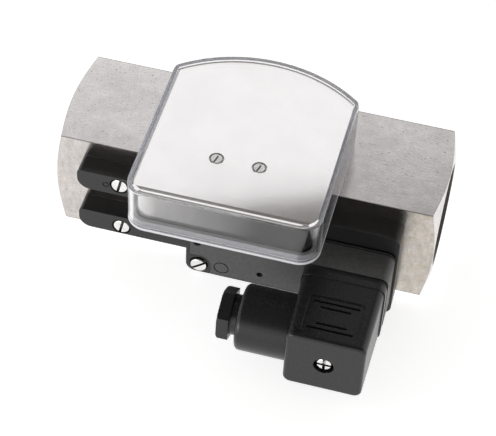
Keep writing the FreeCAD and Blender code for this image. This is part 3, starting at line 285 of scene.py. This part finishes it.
# Metals
def body_steel():
    """Satin bar, blotched and pitted, darker along its long edges, with painted light on its front,
    turned ends and painted shade in its ports.
    """
    edge_width = 0.35 * MM
    end_length = 6.0 * MM
    flat_tolerance = 0.05 * MM
    port_margin = 1.1 * MM
    ring_pitch = 0.3 * MM
    shade = Shade("body_steel", metallic=1.0)
    sideways = shade.away("Y")
    up = shade.away("Z", PIPE_Z)
    radius = shade.diagonal(sideways, up)

    # Marks all over
    brush = shade.noise(0.22 * MM, detail=3.0, stretch=(7, 1, 1))
    clouds = shade.spread(shade.noise(13 * MM, stretch=(1.6, 1, 1)), 0.86, 1)
    blotches = shade.spread(shade.noise(3.5 * MM, detail=6.0), 0.88, 1)
    speckles = shade.spread(shade.noise(0.5 * MM, detail=3.0), 0.86, 1)
    streaks = shade.spread(shade.noise(0.5 * MM, detail=3.0, stretch=(14, 1, 1)), 0.93, 1)
    pits = shade.spread(shade.noise(0.8 * MM, detail=1.0), 0, 0.36, start=0.67, end=0.75)

    # Painted light on the front: a warm, darker colour that grows towards the right end, and painted
    # shade broken up by real streaks
    front = shade.spread(shade.along("Y"), 1, 0, start=BODY_LOW.y, end=BODY_LOW.y + edge_width)
    patches = shade.spread(shade.noise(4 * MM, detail=5.0), 0.2, 0.8)
    lengthwise = shade.spread(shade.along("X"), 0.36, 1, start=BODY_LOW.x, end=BODY_HIGH.x)
    painted_front_tint = shade.math("MULTIPLY", front, patches, lengthwise)
    # Painted shade on the front face, broken up by real vertical streaks
    streaks_and_shade = shade.spread(shade.noise(1.2 * MM, detail=6.0, stretch=(1, 1, 2.5)), 0, 0.14)
    front_streaks_and_shade = shade.math("MULTIPLY", front, streaks_and_shade)

    # Darker along the long edges, and painted shade in the ports
    to_edge = shade.math("MINIMUM", sideways, up)
    # Darker along the bar's long edges
    darker_edges = shade.spread(to_edge, 0, 0.4, start=BAR_HALF - edge_width, end=BAR_HALF - edge_width / 2)
    outside = shade.math("GREATER_THAN", radius, THREAD_OUTER + port_margin)
    tone = shade.math("MULTIPLY", clouds, blotches, speckles, streaks)
    tone = shade.math("SUBTRACT", tone, pits, darker_edges, front_streaks_and_shade)
    # Painted shade: dark steel colour inside the ports
    tone = shade.math("MULTIPLY", tone, outside)
    # Painted light: a share of a warm colour on the front face, more of it towards the right end
    shade.colour_with_painted_tint((0.05, 0.045, 0.04), (0.91, 0.875, 0.87), tone, (0.66, 0.58, 0.44), painted_front_tint)
    shade.rough(brush, 0.16, 0.24)

    # Relief, with turning rings on the end chamfers
    shade.soften(0.1 * MM)
    shade.bump(brush, distance=0.02 * MM, strength=0.5)
    shade.bump(pits, distance=-0.05 * MM, strength=0.5)
    at_end = shade.math("GREATER_THAN", shade.away("X"), BODY_HIGH.x - end_length)
    off_flats = shade.math("LESS_THAN", shade.math("MAXIMUM", sideways, up), BAR_HALF - flat_tolerance)
    rings = shade.math("SINE", shade.math("MULTIPLY", radius, FULL_TURN / ring_pitch))
    shade.bump(shade.math("MULTIPLY", rings, at_end, off_flats), distance=0.02 * MM, strength=0.12)
    return shade.material


def turned_brass():
    shade = Shade("turned_brass", metallic=1.0)
    stain = shade.noise(6 * MM, detail=4.0)
    marks = shade.noise(0.25 * MM, stretch=(1, 12, 12))
    shade.colour((0.55, 0.40, 0.18), (0.74, 0.57, 0.29), stain)
    shade.rough(marks, 0.22, 0.38)
    shade.soften(0.2 * MM)
    shade.bump(marks, distance=0.02 * MM, strength=0.25)
    return shade.material


def bright_steel():
    shade = Shade("bright_steel", metallic=1.0)
    drawn = shade.noise(0.2 * MM, stretch=(20, 1, 1))
    stain = shade.noise(4 * MM, detail=3.0)
    shade.colour((0.54, 0.54, 0.55), (0.70, 0.70, 0.71), stain)
    shade.rough(drawn, 0.18, 0.34)
    shade.bump(drawn, distance=0.01 * MM, strength=0.2)
    return shade.material


def magnet():
    shade = Shade("magnet", metallic=0.35)
    grain = shade.noise(0.3 * MM, detail=4.0)
    shade.colour((0.05, 0.05, 0.054), (0.10, 0.10, 0.105), grain)
    shade.rough(grain, 0.42, 0.62)
    shade.soften(0.2 * MM)
    shade.bump(grain, distance=0.04 * MM, strength=0.4)
    return shade.material


def dial_aluminium():
    """Sheet polished on the dial's face, with painted shade along a left margin and in its grooves, and a
    painted reflection on the skirt.
    """
    face_low = PLATE_HIGH.z - PLATE_BEND / 2
    skirt_high = PLATE_HIGH.z - PLATE_BEND
    left = PLATE_LOW.x
    corner_start = left + 2 * MM
    corner_end = left + 9 * MM
    gleam_end = 0.5 * PLATE_HIGH.x
    margin_start = left + 0.5 * MM
    margin_end = left + 0.65 * MM
    groove_depth = 0.5 * MM
    shade = Shade("dial_aluminium", metallic=1.0)
    brush = shade.noise(0.12 * MM, stretch=(1, 1, 40))
    cloud = shade.noise(14 * MM, detail=3.0)
    across = shade.along("X")
    polish = shade.spread(shade.along("Z"), 0, 1, start=skirt_high, end=face_low)

    # Skirt with a painted reflection, from a bright left corner to a dark right one
    corner = shade.spread(across, 0.45, 0, start=corner_start, end=corner_end)
    gleam = shade.math("ADD", shade.spread(across, 0.52, 0, start=left, end=gleam_end), corner)
    gleam = shade.math("MULTIPLY", gleam, shade.spread(brush, 0.85, 1.15))

    # Face and skirt together, with painted shade along the left margin and in the grooves
    tone = shade.math("SUBTRACT", shade.math("MAXIMUM", polish, gleam), shade.spread(cloud, 0, 0.05))
    # Painted shade along the plate's left margin
    margin = shade.spread(across, 0.6, 0, start=margin_start, end=margin_end)
    inside = shade.math("SUBTRACT", 1.0, shade.math("MULTIPLY", margin, polish))
    # Painted shade in the grooves round the screws
    tone = shade.math("MULTIPLY", tone, inside, shade.crevice(groove_depth))
    shade.colour((0.02, 0.02, 0.02), (0.955, 0.938, 0.92), tone)
    finish = shade.spread(polish, 0.24, 0.07, start=0, end=1)
    shade.give("Roughness", shade.math("ADD", finish, shade.spread(brush, -0.02, 0.02)))
    shade.bump(cloud, distance=0.02 * MM, strength=0.05)
    return shade.material


def base_aluminium():
    """Plate that closes the hood from below: pale, matt and lacquered, with painted shade on the front of
    its upright rim.
    """
    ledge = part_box("hood")[0].z
    rim_fade = 0.2 * MM
    shade = Shade("base_aluminium", metallic=0.3)
    grain = shade.noise(0.3 * MM, detail=3.0)
    rim = shade.spread(shade.along("Z"), 0, 1, start=ledge, end=ledge + rim_fade)
    front = shade.spread(shade.along("Y"), 1, 0, start=FRONT_FADE_START, end=FRONT_FADE_END)
    # Painted shade on the front of the upright rim
    lacquer_and_shade = shade.spread(shade.math("MULTIPLY", rim, front), 0.95, 0.3, start=0, end=1)
    shade.colour((0.02, 0.02, 0.02), (0.92, 0.92, 0.95), lacquer_and_shade)
    shade.rough(grain, 0.5, 0.6)
    shade.soften(0.15 * MM)
    return shade.material


def screw_steel(name):
    """Plated steel with wear and painted shade in its slots, as a shade and its tone before it is
    coloured.
    """
    slot_depth = 1.2 * MM
    shade = Shade(name, metallic=1.0)
    wear = shade.noise(1.2 * MM, detail=4.0)
    grain = shade.noise(0.15 * MM)
    shade.rough(grain, 0.18, 0.32)
    shade.soften(0.12 * MM)
    shade.bump(grain, distance=0.02 * MM, strength=0.25)
    return shade, shade.math("MULTIPLY", shade.spread(wear, 0.8, 1), shade.crevice(slot_depth))


def plated_screws():
    shade, tone = screw_steel("plated_screws")
    shade.colour(SCREW_DARK, SCREW_LIGHT, tone)
    return shade.material


def dial_screw_steel():
    """The same steel with a painted shadow as a dark rim round the heads of the pair of screws in the
    dial.
    """
    low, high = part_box("dial_screws")
    middle = (low + high) / 2
    head = (high.y - low.y) / 2
    half_pitch = (high.x - low.x) / 2 - head
    rim_inner = head - 0.32 * MM
    rim_outer = head - 0.18 * MM
    shade, tone = screw_steel("dial_screw_steel")
    aside = shade.math("SUBTRACT", shade.away("X", middle.x), half_pitch)
    radius = shade.diagonal(aside, shade.away("Y", middle.y))
    # Painted shadow round the heads, where they sit in the plate
    inside = shade.spread(radius, 1, 0, start=rim_inner, end=rim_outer)
    shade.colour(SCREW_DARK, SCREW_LIGHT, shade.math("MULTIPLY", tone, inside))
    return shade.material


# Plastics, rubber and glass
def moulded_black(name, light, contrast, rough_low, rough_high, relief):
    """Black moulding with a fine eroded texture of a relief, with painted shade in its corners and at its
    joints with other parts.
    """
    joint_depth = 1.0 * MM
    shade = Shade(name)
    texture = shade.noise(0.28 * MM, detail=3.0)
    cloud = shade.spread(shade.noise(1.0 * MM, detail=4.0), 1 - contrast, 1)
    # Painted shade in corners and along joints with other parts, from ambient occlusion
    tone = shade.math("MULTIPLY", cloud, shade.crevice(joint_depth, local=False))
    shade.colour((0.001, 0.001, 0.001), light, tone)
    shade.rough(texture, rough_low, rough_high)
    shade.soften(0.25 * MM)
    shade.bump(texture, distance=relief, strength=0.35)
    return shade.material


def black_housing():
    return moulded_black(
        "black_housing", light=(0.016, 0.016, 0.0167), contrast=0.4,
        rough_low=0.3, rough_high=0.42, relief=0.02 * MM)


def lid_black():
    return moulded_black(
        "lid_black", light=(0.108, 0.108, 0.107), contrast=0.32,
        rough_low=0.36, rough_high=0.5, relief=0.03 * MM)


def black_connector():
    return moulded_black(
        "black_connector", light=(0.012, 0.012, 0.0124), contrast=0.35,
        rough_low=0.24, rough_high=0.34, relief=0.015 * MM)


def black_rubber():
    shade = Shade("black_rubber")
    texture = shade.noise(0.4 * MM, detail=3.0)
    shade.colour((0.012, 0.012, 0.012), (0.026, 0.026, 0.026), texture)
    shade.rough(texture, 0.6, 0.8)
    shade.bump(texture, distance=0.05 * MM, strength=0.3)
    return shade.material


def clear_hood():
    """Clear moulding with a polished roof and hazier walls, greyed by painted shade on the sides and
    rear, letting lamps through to the dial.
    """
    side_width = 6 * MM
    wall_roughness = 0.08
    shade = Shade("clear_hood")
    haze = shade.noise(5 * MM, detail=3.0)
    wall = shade.spread(shade.along("Z"), 1, 0, start=PLATE_HIGH.z - PLATE_BEND, end=PLATE_HIGH.z)
    behind = shade.spread(shade.along("Y"), 0, 1, start=FRONT_FADE_START, end=FRONT_FADE_END)
    side = shade.spread(shade.away("X"), 0, 0.9, start=PLATE_HIGH.x - side_width, end=PLATE_HIGH.x)
    # Painted shade: the side and rear walls greyer than the roof and front
    painted_wall_shade = shade.math("MULTIPLY", wall, behind, side)
    clarity = shade.math("SUBTRACT", shade.spread(haze, 0.95, 0.98), painted_wall_shade)
    shade.colour((0.83, 0.835, 0.89), (0.985, 0.985, 0.993), clarity)
    shade.give("Transmission Weight", 1.0)
    shade.give("IOR", 1.49)
    dull = shade.math("MULTIPLY", wall, wall_roughness)
    shade.give("Roughness", shade.math("ADD", dull, shade.spread(haze, 0.005, 0.02)))
    shade.bump(haze, distance=0.05 * MM, strength=0.04)
    clear = shade.nodes.new("ShaderNodeBsdfTransparent")
    path = shade.nodes.new("ShaderNodeLightPath")
    mixed = shade.nodes.new("ShaderNodeMixShader")
    shade.plug((0.95, 0.95, 0.96, 1), clear.inputs["Color"])
    shade.plug(path.outputs["Is Shadow Ray"], mixed.inputs["Fac"])
    shade.plug(shade.shader.outputs["BSDF"], mixed.inputs[1])
    shade.plug(clear.outputs["BSDF"], mixed.inputs[2])
    shade.plug(mixed.outputs["Shader"], shade.nodes["Material Output"].inputs["Surface"])
    return shade.material


def reed_glass():
    shade = Shade("reed_glass")
    haze = shade.noise(2 * MM)
    shade.colour((0.50, 0.68, 0.58), (0.66, 0.80, 0.70), haze)
    shade.give("Transmission Weight", 0.8)
    shade.rough(haze, 0.03, 0.1)
    return shade.material


def circuit_board():
    shade = Shade("circuit_board")
    weave = shade.noise(0.5 * MM, stretch=(4, 1, 1))
    shade.colour((0.035, 0.16, 0.08), (0.06, 0.23, 0.12), weave)
    shade.rough(weave, 0.28, 0.42)
    shade.bump(weave, distance=0.02 * MM, strength=0.2)
    return shade.material


def wire_sleeve():
    shade = Shade("wire_sleeve")
    streak = shade.noise(0.6 * MM, stretch=(6, 1, 1))
    shade.colour((0.28, 0.03, 0.03), (0.40, 0.06, 0.06), streak)
    shade.rough(streak, 0.28, 0.45)
    return shade.material


# Finishes by name, which is the record's slot for most nodes, and the nodes that have their own
FINISHES = {maker.__name__: maker() for maker in (
    body_steel, turned_brass, bright_steel, magnet, dial_aluminium, base_aluminium, plated_screws,
    dial_screw_steel, black_housing, lid_black, black_connector, black_rubber, clear_hood, reed_glass,
    circuit_board, wire_sleeve)}
OWN_FINISH = {
    "housing_cover": "lid_black",
    "connector_socket": "lid_black",
    "dial_base": "base_aluminium",
    "dial_screws": "dial_screw_steel"}


def finish_node(node, slot):
    """Gives a CAD node its own finish, or else that of its slot."""
    mesh = frame["nodes"][node].data
    mesh.materials.clear()
    mesh.materials.append(FINISHES[OWN_FINISH.get(node, slot)])


# Pieces made here
def put(name, data):
    """An object of some data, put into the scene."""
    thing = bpy.data.objects.new(name, data)
    scene.collection.objects.link(thing)
    return thing


def put_mesh(name, shape):
    """An object of a bmesh, which is used up."""
    mesh = bpy.data.meshes.new(name)
    shape.to_mesh(mesh)
    shape.free()
    return put(name, mesh)


def put_tube(name, rings):
    """Skin over a row of rings of points, closed by a face at both ends."""
    shape = bmesh.new()
    made = [[shape.verts.new(point) for point in ring] for ring in rings]
    count = len(made[0])
    for first, second in zip(made, made[1:]):
        for side in range(count):
            after = (side + 1) % count
            shape.faces.new((first[side], first[after], second[after], second[side]))
    ends = [shape.faces.new(made[0]), shape.faces.new(made[-1])]
    bmesh.ops.recalc_face_normals(shape, faces=shape.faces)
    for face in shape.faces:
        face.smooth = face not in ends
    return put_mesh(name, shape)


def thread_ring(turn, start_x, inward, height):
    """Section of the thread's ridge at a turn, as (x, radius) points swung about the pipe's axis."""
    middle = start_x + inward * turn * THREAD_PITCH
    crest = THREAD_OUTER - (THREAD_OUTER - THREAD_INNER) * height
    root = THREAD_OUTER + THREAD_SINK
    section = (
        (-THREAD_ROOT, root), (-THREAD_CREST, crest), (THREAD_CREST, crest), (THREAD_ROOT, root))
    across = math.cos(FULL_TURN * turn)
    up = math.sin(FULL_TURN * turn)
    return [Vector((middle + along * THREAD_PITCH, radius * across, PIPE_Z + radius * up))
            for along, radius in section]


def port_thread(name, mouth_x, inward):
    """Ridge of the pipe thread, fading out at both ends."""
    turns = THREAD_LENGTH / THREAD_PITCH
    start_x = mouth_x + inward * THREAD_START
    steps = int(turns * THREAD_STEPS)
    rings = []
    for step in range(steps + 1):
        turn = turns * step / steps
        height = min(1.0, turn / THREAD_FADE, (turns - turn) / THREAD_FADE)
        rings.append(thread_ring(turn, start_x, inward, max(height, THREAD_LEAST_HEIGHT)))
    piece = put_tube(name, rings)
    piece.data.materials.append(FINISHES["body_steel"])
    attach(piece, "meter")


def spring_advance(share, length):
    """How far along its length the coil is at a share of its turns, slow over the closed ends."""
    closed = SPRING_CLOSED_TURNS / SPRING_TURNS
    shut = SPRING_CLOSED_PITCH * SPRING_CLOSED_TURNS / length
    if share < closed:
        return shut * share / closed
    if share > 1 - closed:
        return 1 - shut * (1 - share) / closed
    return shut + (1 - 2 * shut) * (share - closed) / (1 - 2 * closed)


def coil_spring():
    """Round-wire coil with closed ends."""
    low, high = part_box("return_spring")
    radius = (high.y - low.y) / 2 - SPRING_WIRE_RADIUS
    length = high.x - low.x - 2 * SPRING_WIRE_RADIUS
    along = Vector((1, 0, 0))
    start = Vector((low.x + SPRING_WIRE_RADIUS, 0, PIPE_Z))
    steps = int(SPRING_TURNS * SPRING_STEPS)
    rings = []
    for step in range(steps + 1):
        share = step / steps
        angle = FULL_TURN * SPRING_TURNS * share
        outward = Vector((0, math.cos(angle), math.sin(angle)))
        middle = start + along * length * spring_advance(share, length) + outward * radius
        ring = []
        for side in range(SPRING_SIDES):
            turn = FULL_TURN * side / SPRING_SIDES
            aim = math.cos(turn) * outward + math.sin(turn) * along
            ring.append(middle + SPRING_WIRE_RADIUS * aim)
        rings.append(ring)
    piece = put_tube("coil_spring", rings)
    piece.data.materials.append(FINISHES["bright_steel"])
    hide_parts("return_spring")
    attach(piece, "meter")
    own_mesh(piece)


# Stage, light and camera
def make_floor():
    """Pale floor that the camera, metal and glass see as white outside the object's shadow."""
    half = FLOOR_SIZE / 2
    corners = ((-half, -half), (half, -half), (half, half), (-half, half))
    shape = bmesh.new()
    shape.faces.new([shape.verts.new((x, y, FLOOR_Z)) for x, y in corners])
    floor = put_mesh("floor", shape)
    shade = Shade("floor")
    shade.colour(FLOOR_DARK, FLOOR_LIGHT, shade.noise(FLOOR_CLOUD))
    shade.give("Roughness", FLOOR_ROUGHNESS)
    path = shade.nodes.new("ShaderNodeLightPath")
    rays = ("Is Camera Ray", "Is Glossy Ray", "Is Transmission Ray")
    seen = shade.math("MAXIMUM", *[path.outputs[ray] for ray in rays])
    shade.give("Emission Color", (1, 1, 1, 1))
    shade.give("Emission Strength", shade.math("MULTIPLY", seen, FLOOR_GLOW))
    floor.data.materials.append(shade.material)


def make_sky():
    """World that is pale all round and dim about one direction overhead."""
    world = bpy.data.worlds.new("sky")
    scene.world = world
    world.use_nodes = True
    nodes = world.node_tree.nodes
    links = world.node_tree.links
    place = nodes.new("ShaderNodeTexCoord")
    towards = nodes.new("ShaderNodeVectorMath")
    towards.operation = "DOT_PRODUCT"
    towards.inputs[1].default_value = SKY_DIM_AXIS
    spread = nodes.new("ShaderNodeMapRange")
    spread.interpolation_type = "SMOOTHSTEP"
    spread.inputs["From Min"].default_value = SKY_DIM_FROM
    spread.inputs["From Max"].default_value = SKY_DIM_TO
    mix = nodes.new("ShaderNodeMix")
    mix.data_type = "RGBA"
    mix.inputs["A"].default_value = (*SKY_BRIGHT, 1)
    mix.inputs["B"].default_value = (*SKY_DIM, 1)
    links.new(place.outputs["Generated"], towards.inputs[0])
    links.new(towards.outputs["Value"], spread.inputs["Value"])
    links.new(spread.outputs["Result"], mix.inputs["Factor"])
    links.new(mix.outputs["Result"], nodes["Background"].inputs["Color"])


def make_lamp():
    """Soft rectangular lamp that faces the object."""
    lamp = bpy.data.lights.new("front_lamp", "AREA")
    lamp.shape = "RECTANGLE"
    lamp.size = LAMP_WIDTH
    lamp.size_y = LAMP_HEIGHT
    lamp.energy = LAMP_WATTS
    holder = put("front_lamp", lamp)
    holder.location = LAMP_PLACE
    holder.rotation_euler = (CAMERA_TARGET - LAMP_PLACE).to_track_quat("-Z", "Y").to_euler()


def make_camera():
    """Camera at its azimuth, elevation and roll, at a distance from its target."""
    level = math.cos(CAMERA_ELEVATION)
    back = Vector((
        math.sin(CAMERA_AZIMUTH) * level,
        -math.cos(CAMERA_AZIMUTH) * level,
        math.sin(CAMERA_ELEVATION)))
    right = Vector((0, 0, 1)).cross(back).normalized()
    up = back.cross(right)
    turn = Matrix((right, up, back)).transposed() @ Matrix.Rotation(-CAMERA_ROLL, 3, "Z")
    data = bpy.data.cameras.new("camera")
    data.sensor_width = SENSOR_WIDTH
    data.lens = SENSOR_WIDTH * FOCAL_PIXELS / IMAGE_WIDTH
    data.clip_start = CAMERA_NEAREST
    holder = put("camera", data)
    holder.matrix_world = Matrix.Translation(CAMERA_TARGET + back * CAMERA_DISTANCE) @ turn.to_4x4()
    scene.camera = holder


for part in frame["record"]["subparts"]:
    finish_node(part["node"], part["material_slot"])
port_thread("inlet_thread", BODY_LOW.x, 1)
port_thread("outlet_thread", BODY_HIGH.x, -1)
coil_spring()
make_floor()
make_sky()
make_lamp()
make_camera()
scene.cycles.max_bounces = HOOD_BOUNCES
scene.cycles.transmission_bounces = HOOD_BOUNCES
scene.cycles.glossy_bounces = METAL_BOUNCES
scene.view_settings.view_transform = "Standard"
